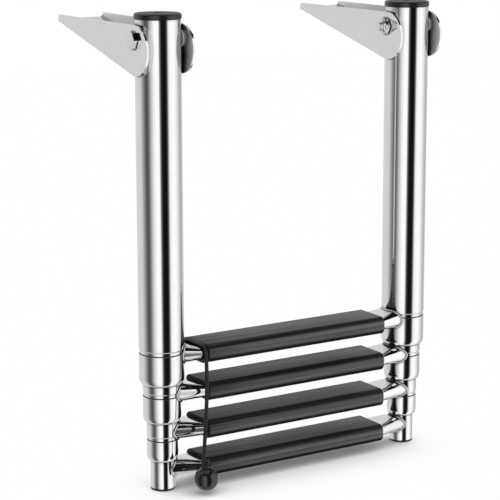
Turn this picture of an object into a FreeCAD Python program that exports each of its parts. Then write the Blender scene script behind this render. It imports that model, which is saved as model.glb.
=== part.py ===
import FreeCAD, Part
import math
import os

import Sketcher

# Telescopic boat ladder, folded up: four pairs of tubes, four steps, two deck brackets.
# Lengths in millimetres. X runs along the steps, -Y is outboard, +Z is up.
# The origin is the middle of the left bracket's base, on the face that lies on the deck.

doc = FreeCAD.newDocument("BoatLadder")
sheet = doc.addObject("Spreadsheet::Sheet", "Sizes")

DRIVING = [
    # Posts and their bracket
    ("post_spacing", 250.0),
    ("pivot_above_foot", 379.2),
    ("post_top_above_pivot", 16.6),
    ("deck_angle", 14.7),
    ("pivot_above_deck", 28.0),
    ("pivot_to_ear_centre", 3.6),
    ("pivot_to_base_middle", 78.0),
    ("pivot_to_ear_tip", 133.0),
    ("pivot_to_web_front", 23.0),
    ("ear_radius", 20.4),
    ("ear_tip_height", 5.6),
    ("ear_to_post", 1.2),
    ("bracket_sheet", 2.0),
    ("screw_hole", 6.4),
    ("screw_spacing", 60.0),
    # Pivot bolt
    ("bolt_diameter", 8.0),
    ("bolt_clearance", 0.3),
    ("bolt_end", 3.0),
    ("hex_flats", 13.0),
    ("head_height", 3.7),
    ("nut_height", 6.5),
    ("washer_diameter", 16.0),
    ("washer_play", 0.05),
    # Tubes and collars
    ("post_diameter", 38.0),
    ("tube_wall", 1.2),
    ("tube_room_1", 1.7),
    ("tube_room_2", 1.7),
    ("tube_room_3", 1.6),
    ("seam_above_step_1", 2.0),
    ("seam_above_step_2", -1.7),
    ("seam_above_step_3", -6.7),
    ("collar_to_step_1", 1.1),
    ("collar_to_step_2", 1.3),
    ("collar_to_step_3", 0.6),
    ("seam_groove", 0.6),
    ("spigot_length", 14.0),
    ("collar_nose", 6.0),
    ("collar_lip", 0.8),
    ("slide_gap", 0.25),
    ("seat_gap", 0.05),
    ("guide_height", 10.0),
    ("tube_to_bolt", 9.4),
    ("stop_gap", 1.0),
    # Cap and foot plugs
    ("cap_overhang", 0.55),
    ("cap_height", 4.7),
    ("cap_rounding", 1.7),
    ("cap_plug", 8.0),
    ("dimple_diameter", 7.0),
    ("dimple_depth", 0.8),
    ("foot_rim", 1.8),
    ("foot_rounding", 0.8),
    ("foot_plug", 12.0),
    # Steps
    ("lowest_step", 17.5),
    ("step_pitch", 33.1),
    ("step_wall", 1.2),
    ("flat_width", 34.6),
    ("flat_height", 10.0),
    ("flat_drop", 0.9),
    ("swell_length", 10.0),
    ("swell_width", 30.0),
    ("swell_height", 15.4),
    ("swell_share", 0.97),
    # Treads
    ("tread_wall", 2.7),
    ("tread_play", 0.1),
    ("tread_rounding", 5.6),
    ("tread_slot", 15.0),
    # Retaining strap with its ball
    ("strap_diameter", 3.3),
    ("strap_play", 0.15),
    ("strap_to_tread", 0.6),
    ("strap_to_swell", 1.35),
    ("ball_diameter", 20.6),
]


class Size:
    """A measure with the expression that gives it from the sheet and its value today."""

    def __init__(self, text, value):
        self.text = text
        self.value = value

    def joined(self, other, sign, value):
        return Size("(%s %s %s)" % (self.text, sign, as_size(other).text), value)

    def __add__(self, other):
        return self.joined(other, "+", self.value + as_size(other).value)

    def __sub__(self, other):
        return self.joined(other, "-", self.value - as_size(other).value)

    def __mul__(self, other):
        return self.joined(other, "*", self.value * as_size(other).value)

    def __truediv__(self, other):
        return self.joined(other, "/", self.value / as_size(other).value)

    def __neg__(self):
        return as_size(0) - self

    def __rsub__(self, other):
        return as_size(other) - self


def as_size(number):
    if isinstance(number, Size):
        return number
    return Size(repr(float(number)), float(number))


def cosine(angle):
    return Size("cos(%s * 1 deg)" % angle.text, math.cos(math.radians(angle.value)))


def sine(angle):
    return Size("sin(%s * 1 deg)" % angle.text, math.sin(math.radians(angle.value)))


def smaller(one, two):
    return Size("min(%s; %s)" % (one.text, two.text), min(one.value, two.value))


def fill_sheet():
    for row, (name, value) in enumerate(DRIVING, start=1):
        sheet.set("A%d" % row, name)
        sheet.set("B%d" % row, str(value))
        sheet.setAlias("B%d" % row, name)
    doc.recompute()


def size(name):
    return Size("Sizes." + name, float(sheet.get(name)))


def bind(thing, path, measure):
    thing.setExpression(path, as_size(measure).text)


fill_sheet()

# Places worked out from the driving sizes
SIDES = ("left", "right")
SECTIONS = range(1, 5)
slope = size("deck_angle")
pivot_y = -(size("pivot_to_base_middle") * cosine(slope)) - size("pivot_above_deck") * sine(slope)
pivot_z = size("pivot_above_deck") * cosine(slope) - size("pivot_to_base_middle") * sine(slope)
foot_z = pivot_z - size("pivot_above_foot")
step_middle_x = size("post_spacing") / 2
slide_gap = size("slide_gap")
seat_gap = size("seat_gap")
tube_wall = size("tube_wall")
seam_groove = size("seam_groove")
sheet_metal = size("bracket_sheet")
post_top = size("pivot_above_foot") + size("post_top_above_pivot")
ear_gap = size("post_diameter") + size("ear_to_post") * 2


def tube_radius(number):
    radius = size("post_diameter") / 2
    for wider in range(1, number):
        radius = radius - tube_wall - size("tube_room_%d" % wider)
    return radius


def tube_bore(number):
    return tube_radius(number) - tube_wall


def step_height(number):
    return size("lowest_step") + size("step_pitch") * (len(SECTIONS) - number)


def seam_height(number):
    return step_height(number) + size("seam_above_step_%d" % number)


def collar_bottom(number):
    """A collar ends just above the swollen end of the step below it."""
    step_top = step_height(number + 1) + size("swell_height") / 2
    return step_top + size("collar_to_step_%d" % number)


def spigot_top(number):
    return seam_height(number) + size("spigot_length")


# Drawn in, the second tube ends under the pivot bolt; that leaves the travel of each section
highest_tube_top = size("pivot_above_foot") - size("bolt_diameter") / 2 - size("tube_to_bolt")
travel = highest_tube_top - size("guide_height") - size("stop_gap") - spigot_top(1)


def tube_bottom(number):
    if number == len(SECTIONS):
        return size("foot_rim")
    return seam_height(number) + seam_groove / 2


def guide_bottom(number):
    """The lower face of the guide ring, which meets the collar above it at full travel."""
    return spigot_top(number - 1) + travel + size("stop_gap")


def tube_top(number):
    if number == 1:
        return post_top
    return guide_bottom(number) + size("guide_height")


def post_x(side):
    return size("post_spacing") * SIDES.index(side)


# The flat of a step, with the tread and the strap ring on it
flat_half = size("post_spacing") / 2 - tube_radius(1) - size("swell_length")
strap_outer = flat_half - size("strap_to_swell")
tread_half = strap_outer - size("strap_diameter") - size("strap_to_tread")


# Helpers for bodies and their sketches
def new_body(label):
    body = doc.addObject("PartDesign::Body", label)
    body.Label = label
    return body


def place(thing, x, y, z):
    bind(thing, "Placement.Base.x", x)
    bind(thing, "Placement.Base.y", y)
    bind(thing, "Placement.Base.z", z)


def origin_plane(body, role):
    return next(item for item in body.Origin.OriginFeatures if item.Role == role)


def new_sketch(body, name, role, offset=None):
    sketch = body.newObject("Sketcher::SketchObject", body.Label + "_" + name)
    sketch.AttachmentSupport = [(origin_plane(body, role), "")]
    sketch.MapMode = "FlatFace"
    if offset is not None:
        sketch.AttachmentOffset = FreeCAD.Placement(
            FreeCAD.Vector(0, 0, offset.value), FreeCAD.Rotation()
        )
        bind(sketch, "AttachmentOffset.Base.z", offset)
    return sketch


def drive(sketch, constraint, measure):
    index = sketch.addConstraint(constraint)
    sketch.setExpression("Constraints[%d]" % index, as_size(measure).text)


def pin(sketch, edge, end, x, y):
    """Hold one end or the centre of an edge at x, y of the sketch."""
    drive(sketch, Sketcher.Constraint("DistanceX", -1, 1, edge, end, as_size(x).value), x)
    drive(sketch, Sketcher.Constraint("DistanceY", -1, 1, edge, end, as_size(y).value), y)


def vector(x, y):
    return FreeCAD.Vector(as_size(x).value, as_size(y).value, 0)


def add_circle(sketch, x, y, radius):
    edge = sketch.addGeometry(
        Part.Circle(vector(x, y), FreeCAD.Vector(0, 0, 1), radius.value), False
    )
    pin(sketch, edge, 3, x, y)
    drive(sketch, Sketcher.Constraint("Radius", edge, radius.value), radius)
    return edge


def add_arc(sketch, x, y, radius, start_degrees, end_degrees):
    circle = Part.Circle(vector(x, y), FreeCAD.Vector(0, 0, 1), as_size(radius).value)
    arc = Part.ArcOfCircle(circle, math.radians(start_degrees), math.radians(end_degrees))
    return sketch.addGeometry(arc, False)


def add_line(sketch, x1, y1, x2, y2):
    return sketch.addGeometry(Part.LineSegment(vector(x1, y1), vector(x2, y2)), False)


def add_outline(sketch, corners):
    """A closed outline. A corner is x, y, or x, y, radius where an arc runs on from it.

    A positive radius bulges to the right of the way from this corner to the next."""
    count = len(corners)
    for index, corner in enumerate(corners):
        following = corners[(index + 1) % count]
        start = vector(corner[0], corner[1])
        end = vector(following[0], following[1])
        if len(corner) == 3:
            radius = corner[2]
            chord = end - start
            middle = (start + end) * 0.5
            left = FreeCAD.Vector(-chord.y, chord.x, 0)
            left.normalize()
            reach = math.sqrt(max(radius.value ** 2 - (chord.Length / 2) ** 2, 0.0))
            centre = middle + left * reach
            circle = Part.Circle(centre, FreeCAD.Vector(0, 0, 1), radius.value)
            first = math.atan2(start.y - centre.y, start.x - centre.x)
            last = math.atan2(end.y - centre.y, end.x - centre.x)
            edge = sketch.addGeometry(Part.ArcOfCircle(circle, first, last), False)
            drive(sketch, Sketcher.Constraint("Radius", edge, radius.value), radius)
        else:
            edge = sketch.addGeometry(Part.LineSegment(start, end), False)
        pin(sketch, edge, 1, corner[0], corner[1])
        if index:
            sketch.addConstraint(Sketcher.Constraint("Coincident", edge - 1, 2, edge, 1))
    sketch.addConstraint(Sketcher.Constraint("Coincident", count - 1, 2, 0, 1))


def add_slot(sketch, middle_y, width, height):
    """A flat oval: two level lines joined by half circles."""
    middle_y = as_size(middle_y)
    radius = height / 2
    reach = (width - height) / 2
    right = add_arc(sketch, reach, middle_y, radius, -90, 90)
    left = add_arc(sketch, -reach, middle_y, radius, 90, 270)
    top = add_line(sketch, reach, middle_y + radius, -reach, middle_y + radius)
    bottom = add_line(sketch, -reach, middle_y - radius, reach, middle_y - radius)
    sketch.addConstraint(
        [
            Sketcher.Constraint("Tangent", right, 2, top, 1),
            Sketcher.Constraint("Tangent", top, 2, left, 1),
            Sketcher.Constraint("Tangent", left, 2, bottom, 1),
            Sketcher.Constraint("Tangent", bottom, 2, right, 1),
            Sketcher.Constraint("Horizontal", top),
        ]
    )
    pin(sketch, right, 3, reach, middle_y)
    pin(sketch, left, 3, -reach, middle_y)
    drive(sketch, Sketcher.Constraint("Radius", right, radius.value), radius)


def add_rounded_rectangle(sketch, left, bottom, right, top, radius):
    corners = [
        (right - radius, top - radius),
        (left + radius, top - radius),
        (left + radius, bottom + radius),
        (right - radius, bottom + radius),
    ]
    arcs = [
        add_arc(sketch, x, y, radius, 90 * turn, 90 * (turn + 1))
        for turn, (x, y) in enumerate(corners)
    ]
    lines = [
        add_line(sketch, right - radius, top, left + radius, top),
        add_line(sketch, left, top - radius, left, bottom + radius),
        add_line(sketch, left + radius, bottom, right - radius, bottom),
        add_line(sketch, right, bottom + radius, right, top - radius),
    ]
    for turn in range(4):
        following = arcs[(turn + 1) % 4]
        sketch.addConstraint(Sketcher.Constraint("Tangent", arcs[turn], 2, lines[turn], 1))
        sketch.addConstraint(Sketcher.Constraint("Tangent", lines[turn], 2, following, 1))
    for arc, (x, y) in zip(arcs, corners):
        pin(sketch, arc, 3, x, y)
    drive(sketch, Sketcher.Constraint("Radius", arcs[0], radius.value), radius)
    sketch.addConstraint(Sketcher.Constraint("Horizontal", lines[0]))
    sketch.addConstraint(Sketcher.Constraint("Vertical", lines[1]))
    sketch.addConstraint(Sketcher.Constraint("Vertical", lines[3]))


def pad(body, sketch, length, name="pad", midplane=False, reversed_way=False):
    feature = body.newObject("PartDesign::Pad", body.Label + "_" + name)
    feature.Profile = sketch
    feature.Length = as_size(length).value
    bind(feature, "Length", length)
    feature.Midplane = midplane
    feature.Reversed = reversed_way
    return feature


def pocket(body, sketch, length, name="pocket", midplane=False, reversed_way=False):
    feature = body.newObject("PartDesign::Pocket", body.Label + "_" + name)
    feature.Profile = sketch
    feature.Length = as_size(length).value
    bind(feature, "Length", length)
    feature.Midplane = midplane
    feature.Reversed = reversed_way
    return feature


def revolve(body, sketch, name="turned"):
    """Turn a profile of the XZ plane round the body's Z axis."""
    feature = body.newObject("PartDesign::Revolution", body.Label + "_" + name)
    feature.Profile = sketch
    feature.ReferenceAxis = (sketch, ["V_Axis"])
    feature.Angle = 360.0
    return feature


def turned_body(label, corners):
    body = new_body(label)
    sketch = new_sketch(body, "profile", "XZ_Plane")
    add_outline(sketch, corners)
    revolve(body, sketch)
    return body


# Brackets, in the bracket's own frame: the deck is its XY plane and the tip points to +Y
def make_bracket(side):
    body = new_body("bracket_" + side)
    middle = size("pivot_to_base_middle")
    arc_y = -middle - size("pivot_to_ear_centre")
    tip_y = size("pivot_to_ear_tip") - middle
    tip_height = size("ear_tip_height")
    radius = size("ear_radius")
    outline = new_sketch(body, "ear_outline", "YZ_Plane")
    front = add_arc(outline, arc_y, radius, radius, 90 - slope.value, 270)
    base = add_line(outline, arc_y, 0, tip_y, 0)
    tip = add_line(outline, tip_y, 0, tip_y, tip_height)
    tangent_y = arc_y.value + radius.value * math.sin(math.radians(slope.value))
    tangent_z = radius.value * (1 + math.cos(math.radians(slope.value)))
    top = add_line(outline, tip_y, tip_height, tangent_y, tangent_z)
    outline.addConstraint(
        [
            Sketcher.Constraint("Tangent", front, 2, base, 1),
            Sketcher.Constraint("Coincident", base, 2, tip, 1),
            Sketcher.Constraint("Coincident", tip, 2, top, 1),
            Sketcher.Constraint("Tangent", top, 2, front, 1),
            Sketcher.Constraint("Vertical", tip),
        ]
    )
    pin(outline, front, 3, arc_y, radius)
    pin(outline, base, 2, tip_y, 0)
    drive(outline, Sketcher.Constraint("Radius", front, radius.value), radius)
    drive(outline, Sketcher.Constraint("DistanceY", tip, 1, tip, 2, tip_height.value), tip_height)
    pad(body, outline, ear_gap + sheet_metal * 2, "ears", midplane=True)

    # The channel between the ears, down to the base plate and open at its front
    channel = new_sketch(body, "channel_outline", "YZ_Plane")
    web_front = size("pivot_to_web_front") - middle
    beyond = radius * 3
    add_outline(
        channel,
        [
            (arc_y - beyond, -radius),
            (web_front, -radius),
            (web_front, sheet_metal),
            (tip_y + beyond, sheet_metal),
            (tip_y + beyond, beyond),
            (arc_y - beyond, beyond),
        ],
    )
    pocket(body, channel, ear_gap, "channel", midplane=True)

    # The pivot hole through both ears
    pivot = new_sketch(body, "pivot_outline", "YZ_Plane")
    hole_radius = size("bolt_diameter") / 2 + size("bolt_clearance")
    add_circle(pivot, -middle, size("pivot_above_deck"), hole_radius)
    pocket(body, pivot, size("post_spacing"), "pivot_hole", midplane=True)

    # Two deck screws through the base plate
    screws = new_sketch(body, "screw_outline", "XY_Plane")
    for way in (-1, 1):
        add_circle(screws, 0, size("screw_spacing") / 2 * way, size("screw_hole") / 2)
    pocket(body, screws, sheet_metal * 2, "screw_holes", midplane=True)

    place(body, post_x(side), 0, 0)
    body.Placement.Rotation = FreeCAD.Rotation(FreeCAD.Vector(1, 0, 0), slope.value)
    bind(body, "Placement.Rotation.Angle", Size(slope.text + " * 1 deg", slope.value))
    return body


def outward(side):
    return -1 if side == "left" else 1


# Pivot bolt: head against the outer ear, nut on the inner ear, all along X from the pivot
def hexagon_body(label, start, height, hole_radius=None):
    """A hexagon with its points up and down, or fore and aft where it has no hole."""
    body = new_body(label)
    sketch = new_sketch(body, "hexagon", "YZ_Plane", start)
    corner = size("hex_flats") / 2 / cosine(as_size(30))
    half_side = corner / 2
    half_flats = size("hex_flats") / 2
    outline = [
        (half_flats, half_side),
        (0, corner),
        (-half_flats, half_side),
        (-half_flats, -half_side),
        (0, -corner),
        (half_flats, -half_side),
    ]
    if hole_radius is None:
        outline = [(up, fore) for fore, up in reversed(outline)]
    add_outline(sketch, outline)
    if hole_radius is not None:
        add_circle(sketch, 0, 0, hole_radius)
    pad(body, sketch, height, "hexagon_pad")
    return body


def make_pivot(side):
    way = outward(side)
    face = ear_gap / 2 + sheet_metal
    radius = size("bolt_diameter") / 2
    head_start = face if way > 0 else -face - size("head_height")
    bolt = hexagon_body("pivot_bolt_" + side, head_start, size("head_height"))
    shank = new_sketch(bolt, "shank_outline", "YZ_Plane", face * way)
    add_circle(shank, 0, 0, radius)
    shank_length = face * 2 + size("nut_height") + size("bolt_end")
    pad(bolt, shank, shank_length, "shank", reversed_way=way > 0)
    nut_start = -face - size("nut_height") if way > 0 else face
    nut = hexagon_body("pivot_nut_" + side, nut_start, size("nut_height"), radius + seat_gap)
    pieces = [bolt, nut]
    for name, turn in (("outer", way), ("inner", -way)):
        washer = new_body("pivot_washer_%s_%s" % (name, side))
        thickness = size("ear_to_post") - size("washer_play") * 2
        start = tube_radius(1) + size("washer_play")
        if turn < 0:
            start = -start - thickness
        ring = new_sketch(washer, "ring", "YZ_Plane", start)
        add_circle(ring, 0, 0, size("washer_diameter") / 2)
        add_circle(ring, 0, 0, radius + size("bolt_clearance"))
        pad(washer, ring, thickness, "ring_pad")
        pieces.append(washer)
    for piece in pieces:
        place(piece, post_x(side), pivot_y, pivot_z)
    return pieces


# Tubes stand on the ladder's own foot level
def make_tube(number, side):
    body = new_body("tube_%d_%s" % (number, side))
    ring = new_sketch(body, "ring", "XY_Plane", tube_bottom(number))
    add_circle(ring, 0, 0, tube_radius(number))
    add_circle(ring, 0, 0, tube_bore(number))
    pad(body, ring, tube_top(number) - tube_bottom(number), "wall")
    if number == 1:
        bolt_hole = new_sketch(body, "bolt_outline", "YZ_Plane")
        hole_radius = size("bolt_diameter") / 2 + size("bolt_clearance")
        add_circle(bolt_hole, 0, size("pivot_above_foot"), hole_radius)
        pocket(body, bolt_hole, tube_radius(1) * 3, "bolt_hole", midplane=True)
    place(body, post_x(side), pivot_y, foot_z)
    return body


def make_collar(number, side):
    """The collar at a tube's end, with its neck inside the tube and a rounded nose."""
    outer = tube_radius(number)
    bore = tube_radius(number + 1) + slide_gap
    lip = bore + size("collar_lip")
    step_in = outer - lip
    nose = size("collar_nose")
    nose_radius = (step_in * step_in + nose * nose) / (step_in * 2)
    seam = seam_height(number)
    bottom = collar_bottom(number)
    neck = tube_bore(number) - seat_gap
    shoulder = seam - seam_groove / 2
    neck_top = spigot_top(number)
    body = turned_body(
        "collar_%d_%s" % (number, side),
        [
            (bore, bottom),
            (lip, bottom, nose_radius),
            (outer, bottom + nose),
            (outer, shoulder),
            (neck, shoulder),
            (neck, neck_top),
            (bore, neck_top),
        ],
    )
    place(body, post_x(side), pivot_y, foot_z)
    return body


def make_guide(number, side):
    """The ring on a tube's upper end that runs in the next wider tube."""
    inner = tube_radius(number) + seat_gap
    outer = tube_bore(number - 1) - slide_gap
    bottom = guide_bottom(number)
    body = new_body("guide_%d_%s" % (number, side))
    ring = new_sketch(body, "ring", "XY_Plane", bottom)
    add_circle(ring, 0, 0, outer)
    add_circle(ring, 0, 0, inner)
    pad(body, ring, size("guide_height"), "wall")
    place(body, post_x(side), pivot_y, foot_z)
    return body


def make_cap(side):
    radius = tube_radius(1) + size("cap_overhang")
    rounding = size("cap_rounding")
    bottom = post_top
    top = bottom + size("cap_height")
    plug_radius = tube_bore(1) - seat_gap
    plug_bottom = bottom - size("cap_plug")
    dimple_radius = size("dimple_diameter") / 2
    dimple_floor = top - size("dimple_depth")
    body = turned_body(
        "post_cap_" + side,
        [
            (0, plug_bottom),
            (plug_radius, plug_bottom),
            (plug_radius, bottom),
            (radius, bottom),
            (radius, top - rounding, rounding),
            (radius - rounding, top),
            (dimple_radius, top),
            (dimple_radius - size("dimple_depth"), dimple_floor),
            (0, dimple_floor),
        ],
    )
    place(body, post_x(side), pivot_y, foot_z)
    return body


def make_foot(side):
    radius = tube_radius(4)
    rounding = size("foot_rounding")
    rim = size("foot_rim")
    plug_radius = tube_bore(4) - seat_gap
    plug_top = rim + size("foot_plug")
    body = turned_body(
        "foot_plug_" + side,
        [
            (0, 0),
            (radius - rounding, 0, rounding),
            (radius, rounding),
            (radius, rim),
            (plug_radius, rim),
            (plug_radius, plug_top),
            (0, plug_top),
        ],
    )
    place(body, post_x(side), pivot_y, foot_z)
    return body


# Step tube: a flat oval under the tread that swells towards the posts
def make_step(number):
    body = new_body("step_%d" % number)
    radius = tube_radius(number)
    half_span = size("post_spacing") / 2
    swell_x = half_span - radius
    wall = size("step_wall")
    swell_width = smaller(size("swell_width"), radius * size("swell_share") * 2)
    widths = {"flat": size("flat_width"), "swell": swell_width}
    heights = {"flat": size("flat_height"), "swell": size("swell_height")}
    middles = {"flat": -size("flat_drop"), "swell": as_size(0)}

    def section(name, kind, x, inset):
        sketch = new_sketch(body, name, "YZ_Plane", as_size(x))
        add_slot(sketch, middles[kind], widths[kind] - inset * 2, heights[kind] - inset * 2)
        return sketch

    def run_along(tag, inset, straight, loft_type):
        flat = section(tag + "_flat", "flat", 0, inset)
        straight(body, flat, flat_half * 2, tag + "_middle", midplane=True)
        for side in SIDES:
            way = outward(side)
            near = section(tag + "_near_" + side, "flat", flat_half * way, inset)
            far = section(tag + "_far_" + side, "swell", swell_x * way, inset)
            loft = body.newObject(loft_type, "%s_%s_swell_%s" % (body.Label, tag, side))
            loft.Profile = near
            loft.Sections = [far]
            loft.Ruled = True
            end = section(tag + "_end_" + side, "swell", swell_x * way, inset)
            into_post = straight is pocket
            straight(body, end, radius, tag + "_end_" + side, reversed_way=(way < 0) != into_post)

    run_along("outer", as_size(0), pad, "PartDesign::AdditiveLoft")
    run_along("inner", wall, pocket, "PartDesign::SubtractiveLoft")

    # Both ends are cut to the round of the posts
    posts = new_sketch(body, "posts", "XY_Plane")
    for side in SIDES:
        add_circle(posts, half_span * outward(side), 0, radius)
    pocket(body, posts, size("step_pitch") * 2, "post_cut", midplane=True)
    place(body, step_middle_x, pivot_y, foot_z + step_height(number))
    return body


# Tread: a moulded sleeve round the flat of the step, open along its underside
def make_tread(number):
    body = new_body("tread_%d" % number)
    play = size("tread_play")
    wall = size("tread_wall")
    drop = -size("flat_drop")
    half_width = size("flat_width") / 2 + play + wall
    half_height = size("flat_height") / 2 + play + wall
    sleeve = new_sketch(body, "sleeve", "YZ_Plane")
    add_rounded_rectangle(
        sleeve,
        -half_width,
        drop - half_height,
        half_width,
        drop + half_height,
        size("tread_rounding"),
    )
    pad(body, sleeve, tread_half * 2, "sleeve_pad", midplane=True)
    hollow = new_sketch(body, "hollow", "YZ_Plane")
    add_slot(hollow, drop, size("flat_width") + play * 2, size("flat_height") + play * 2)
    pocket(body, hollow, tread_half * 3, "hollow_cut", midplane=True)
    slot = new_sketch(body, "slot", "YZ_Plane")
    half_slot = size("tread_slot") / 2
    add_outline(
        slot,
        [
            (-half_slot, drop - half_height * 2),
            (half_slot, drop - half_height * 2),
            (half_slot, drop),
            (-half_slot, drop),
        ],
    )
    pocket(body, slot, tread_half * 3, "slot_cut", midplane=True)
    place(body, step_middle_x, pivot_y, foot_z + step_height(number))
    return body


# Retaining strap: a ring round the top step, a hanging cord and a ball
strap_radius = size("strap_diameter") / 2
strap_x = strap_radius - strap_outer
ring_half_width = size("flat_width") / 2 + size("strap_play") + strap_radius
ring_half_height = size("flat_height") / 2 + size("strap_play") + strap_radius

# The hanging cord, from the front of the ring down to the ball, from the top step's middle
CORD_ROUTE = [
    (0.0, 0.0, 0.0),
    (-0.8, -2.2, -13.0),
    (-2.9, -5.6, -33.0),
    (-5.8, -8.7, -54.0),
    (-9.0, -11.3, -75.0),
    (-11.6, -13.4, -94.5),
]
BALL_DROP = (-8.9, -13.8, -102.7)


def make_strap_ring():
    body = new_body("strap_ring")
    path = new_sketch(body, "path", "YZ_Plane")
    add_slot(path, 0, ring_half_width * 2, ring_half_height * 2)
    section = new_sketch(body, "section", "XZ_Plane")
    add_circle(section, 0, ring_half_height, strap_radius)
    pipe = body.newObject("PartDesign::AdditivePipe", "strap_ring_pipe")
    pipe.Profile = section
    pipe.Spine = path
    place(body, step_middle_x + strap_x, pivot_y, foot_z + step_height(1) - size("flat_drop"))
    return body


def rounded_path(points):
    """Straight runs joined by tangent arcs, as wide as the shorter run beside each allows."""
    edges = []
    start = points[0]
    for before, corner, after in zip(points, points[1:], points[2:]):
        inward = (corner - before).normalize()
        onward = (after - corner).normalize()
        half_turn = inward.getAngle(onward) / 2
        run = min((corner - before).Length, (after - corner).Length)
        setback = 0.45 * run
        print("cord radius %.1f" % (setback / math.tan(half_turn)))
        arc_start = corner - inward * setback
        arc_end = corner + onward * setback
        bisector = (onward - inward).normalize()
        radius = setback / math.tan(half_turn)
        centre = corner + bisector * (radius / math.cos(half_turn))
        arc_middle = centre - bisector * radius
        edges.append(Part.LineSegment(start, arc_start).toShape())
        edges.append(Part.Arc(arc_start, arc_middle, arc_end).toShape())
        start = arc_end
    edges.append(Part.LineSegment(start, points[-1]).toShape())
    return Part.Wire(edges)


def make_cord():
    points = [FreeCAD.Vector(*point) for point in CORD_ROUTE]
    path = rounded_path(points)
    section = Part.Wire(Part.makeCircle(strap_radius.value, points[0], points[1] - points[0]))
    shape = path.makePipeShell([section], True, False)
    expected = math.pi * strap_radius.value ** 2 * path.Length
    print("cord length %.1f volume %.1f expected %.1f" % (path.Length, shape.Volume, expected))
    cord = doc.addObject("Part::Feature", "strap_cord")
    cord.Label = "strap_cord"
    cord.Shape = shape
    place(
        cord,
        step_middle_x + strap_x,
        pivot_y - ring_half_width,
        foot_z + step_height(1) - size("flat_drop"),
    )
    return cord


def make_ball():
    """The ball, with its neck turned towards the cord that ends in it."""
    radius = size("ball_diameter") / 2
    body = new_body("strap_ball")
    sketch = new_sketch(body, "half_round", "XZ_Plane")
    arc = add_arc(sketch, 0, 0, radius, -90, 90)
    line = add_line(sketch, 0, radius, 0, -radius)
    sketch.addConstraint(Sketcher.Constraint("Coincident", arc, 2, line, 1))
    sketch.addConstraint(Sketcher.Constraint("Coincident", line, 2, arc, 1))
    pin(sketch, arc, 3, 0, 0)
    sketch.addConstraint(Sketcher.Constraint("PointOnObject", arc, 1, -2))
    sketch.addConstraint(Sketcher.Constraint("PointOnObject", arc, 2, -2))
    drive(sketch, Sketcher.Constraint("Radius", arc, radius.value), radius)
    revolve(body, sketch)
    drop_x, drop_y, drop_z = BALL_DROP
    place(
        body,
        step_middle_x + strap_x + drop_x,
        pivot_y - ring_half_width + drop_y,
        foot_z + step_height(1) - size("flat_drop") + drop_z,
    )
    return body


def build():
    pieces = []
    for side in SIDES:
        pieces.append(make_bracket(side))
        pieces += make_pivot(side)
        pieces.append(make_cap(side))
        pieces.append(make_foot(side))
        for number in SECTIONS:
            pieces.append(make_tube(number, side))
            if number < len(SECTIONS):
                pieces.append(make_collar(number, side))
            if number > 1:
                pieces.append(make_guide(number, side))
    for number in SECTIONS:
        pieces.append(make_step(number))
        pieces.append(make_tread(number))
    pieces += [make_strap_ring(), make_cord(), make_ball()]
    doc.recompute()
    return pieces


def write_steps(pieces):
    for thing in doc.Objects:
        if "Invalid" in thing.State or "Error" in thing.State:
            raise RuntimeError("%s is %s" % (thing.Label, thing.State))
    for piece in pieces:
        if piece.Shape.isNull() or not piece.Shape.isValid():
            raise RuntimeError(piece.Label + " has no valid shape")
        if len(piece.Shape.Solids) != 1:
            raise RuntimeError(piece.Label + " is not one solid")
    os.makedirs("parts", exist_ok=True)
    for piece in pieces:
        piece.Shape.exportStep("parts/%s.step" % piece.Label)
        print("%-28s %10.1f mm3" % (piece.Label, piece.Shape.Volume))


write_steps(build())
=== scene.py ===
import math

import bmesh
import bpy
import numpy as np
from mathutils import Matrix, Vector


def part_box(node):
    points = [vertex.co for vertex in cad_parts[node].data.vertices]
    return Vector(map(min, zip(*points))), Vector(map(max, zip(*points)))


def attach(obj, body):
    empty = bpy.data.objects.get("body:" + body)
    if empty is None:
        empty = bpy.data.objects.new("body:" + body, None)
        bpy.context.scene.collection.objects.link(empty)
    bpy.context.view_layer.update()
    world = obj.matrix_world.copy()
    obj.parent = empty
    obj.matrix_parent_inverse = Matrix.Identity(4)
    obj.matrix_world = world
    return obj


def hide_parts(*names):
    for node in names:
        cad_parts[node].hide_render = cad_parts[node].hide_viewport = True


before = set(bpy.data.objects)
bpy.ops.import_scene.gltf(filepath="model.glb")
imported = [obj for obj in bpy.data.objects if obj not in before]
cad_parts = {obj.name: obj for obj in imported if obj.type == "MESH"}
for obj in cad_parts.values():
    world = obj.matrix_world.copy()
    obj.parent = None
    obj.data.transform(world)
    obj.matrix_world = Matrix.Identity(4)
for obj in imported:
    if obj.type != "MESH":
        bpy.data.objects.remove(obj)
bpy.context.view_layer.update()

# Telescopic boat ladder, folded up. Metres. X runs along the steps, -Y is outboard, +Z is up.
sides = ("left", "right")
sectionBodies = {1: "upper_section", 2: "second_section", 3: "third_section", 4: "bottom_section"}
scene = bpy.context.scene


def newObject(name, data):
    made = bpy.data.objects.new(name, data)
    scene.collection.objects.link(made)
    return made


def newMesh(name, points, edges=(), faces=()):
    mesh = bpy.data.meshes.new(name)
    mesh.from_pydata(points, edges, faces)
    return mesh


def middleOf(node):
    low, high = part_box(node)
    return [(low[axis] + high[axis]) / 2 for axis in range(3)]


# Camera: where the photograph was taken from
cameraSetup = {
    "place": (-0.7188, -1.3691, 0.1416),
    "pan": 0.55975,          # radians from +Y towards +X
    "pitch": 0.19269,        # radians below level
    "roll": -0.00212,
    "focalPixels": 1823.2,   # in a frame 500 pixels wide
    "frameWidth": 500,
    "shiftY": -0.05,
    "sensor": 36.0,
    "clip": (0.05, 50),
}


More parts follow.
